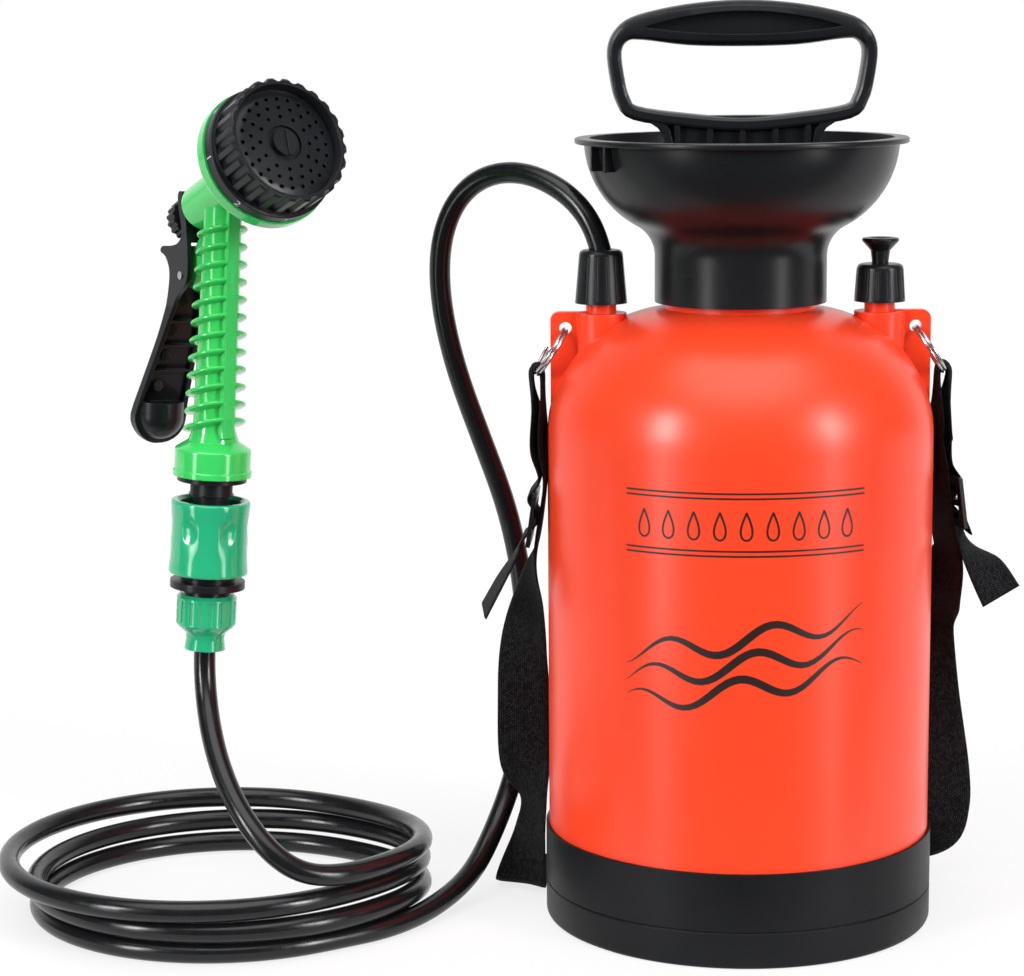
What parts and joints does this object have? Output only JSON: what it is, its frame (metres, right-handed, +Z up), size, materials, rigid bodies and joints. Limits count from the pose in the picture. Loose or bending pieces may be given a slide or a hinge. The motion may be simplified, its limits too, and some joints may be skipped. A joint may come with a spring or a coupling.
{
  "type": "camp shower pump",
  "caption": "Pump-up camp shower: round pressure tank with funnel top and plunger pump, relief valve, shoulder strap, coiled hose, and a dial spray gun on a quick coupling.",
  "frame": {"origin": "on the tank's axis at the floor, the middle of the pad under the base ring", "axes": "+Z up along the tank's axis, -Y the front, +X towards the relief valve, -X towards the hose"},
  "size_m": [0.4815, 0.2017, 0.4264],
  "materials": {
    "tank_shell": "satin",
    "black_plastic": "satin",
    "gun_green": "gloss",
    "coupling_green": "gloss",
    "white_plastic": "matt",
    "seal_rubber": "matt",
    "hose_vinyl": "gloss",
    "webbing": "woven",
    "steel": "polished",
    "brass": "machined"
  },
  "bodies": {
    "tank_body": {"tank": "tank_shell", "base_ring": "black_plastic", "funnel": "black_plastic", "neck_gasket": "seal_rubber", "outlet_nut": "black_plastic", "outlet_tail": "black_plastic", "outlet_seal": "seal_rubber", "dip_tube": "white_plastic", "dip_strainer": "black_plastic", "relief_nut": "black_plastic", "relief_spring": "steel", "split_ring_left": "steel", "split_ring_right": "steel", "slide_buckle_left": "black_plastic", "slide_buckle_right": "black_plastic", "shoulder_strap": "webbing", "hose_drop": "hose_vinyl", "hose_coil": "hose_vinyl", "hose_rise": "hose_vinyl", "hose_nut": "coupling_green", "coupling_body": "black_plastic", "lock_jaws": "white_plastic", "sleeve_spring": "steel"},
    "pump_seal": {"cap_seal": "seal_rubber"},
    "pump_unit": {"pump_cap": "black_plastic", "pump_barrel": "white_plastic", "check_valve": "seal_rubber", "rod_guide": "white_plastic"},
    "plunger": {"pump_handle": "black_plastic", "pump_rod": "steel", "piston": "white_plastic", "piston_ring": "seal_rubber", "piston_nut": "steel"},
    "relief": {"relief_knob": "black_plastic", "relief_washer": "seal_rubber"},
    "sleeve": {"release_sleeve": "coupling_green"},
    "gun": {"gun_body": "gun_green", "gun_inlet": "black_plastic", "inlet_oring": "seal_rubber", "inlet_gasket": "seal_rubber", "trigger_pin": "steel", "gland_seal": "seal_rubber", "dial_seal": "seal_rubber", "dial_screw": "black_plastic", "stem_spring": "steel"},
    "dial": {"spray_dial": "black_plastic", "rose_plate": "black_plastic"},
    "lever": {"trigger": "black_plastic"},
    "stem": {"valve_stem": "brass", "stem_washer": "seal_rubber"},
    "flow_control": {"flow_knob": "black_plastic"}
  },
  "joints": [
    {"name": "pump_rise", "type": "slide", "parent": "tank_body", "child": "pump_seal", "axis": [0, 0, 1], "range_m": [0, 0.0091]},
    {"name": "pump_unscrew", "type": "hinge", "parent": "pump_seal", "child": "pump_unit", "pos_m": [0, 0, 0.3195], "axis": [0, 0, 1], "range_deg": [0, 720]},
    {"name": "pump_stroke", "type": "slide", "parent": "pump_unit", "child": "plunger", "axis": [0, 0, 1], "range_m": [0, 0.165]},
    {"name": "relief_pull", "type": "slide", "parent": "tank_body", "child": "relief", "axis": [0, 0, 1], "range_m": [0, 0.005], "stiffness_N_per_m": 900, "springref_m": -0.004, "deforming": ["relief_spring"]},
    {"name": "gun_swivel", "type": "hinge", "parent": "tank_body", "child": "gun", "pos_m": [-0.248, -0.02, 0.133], "axis": [0.0663, 0, 0.9978], "continuous": true},
    {"name": "sleeve_release", "type": "slide", "parent": "tank_body", "child": "sleeve", "axis": [-0.0663, 0, -0.9978], "range_m": [0, 0.003], "stiffness_N_per_m": 1200, "springref_m": -0.003, "deforming": ["sleeve_spring"]},
    {"name": "dial_turn", "type": "hinge", "parent": "gun", "child": "dial", "pos_m": [-0.23404, -0.02, 0.34314], "axis": [0.5321, -0.7483, 0.3961], "continuous": true},
    {"name": "trigger_squeeze", "type": "hinge", "parent": "gun", "child": "lever", "pos_m": [-0.24928, -0.00135, 0.30356], "axis": [-0.8272, -0.5592, 0.0549], "range_deg": [0, 12], "stiffness_Nm_per_rad": 2, "springref_deg": -8.59},
    {"name": "valve_slide", "type": "slide", "parent": "gun", "child": "stem", "axis": [-0.5321, 0.7483, -0.3961], "range_m": [0, 0.0058], "deforming": ["stem_spring"]},
    {"name": "flow_knob_turn", "type": "hinge", "parent": "stem", "child": "flow_control", "pos_m": [-0.23404, -0.02, 0.34314], "axis": [0.5321, -0.7483, 0.3961], "range_deg": [-180, 180]}
  ],
  "couplings": [
    {"joint": "pump_rise", "follows": "pump_unscrew", "m_per_rad": 0.0007162},
    {"joint": "valve_slide", "follows": "trigger_squeeze", "m_per_rad": 0.027215}
  ]
}
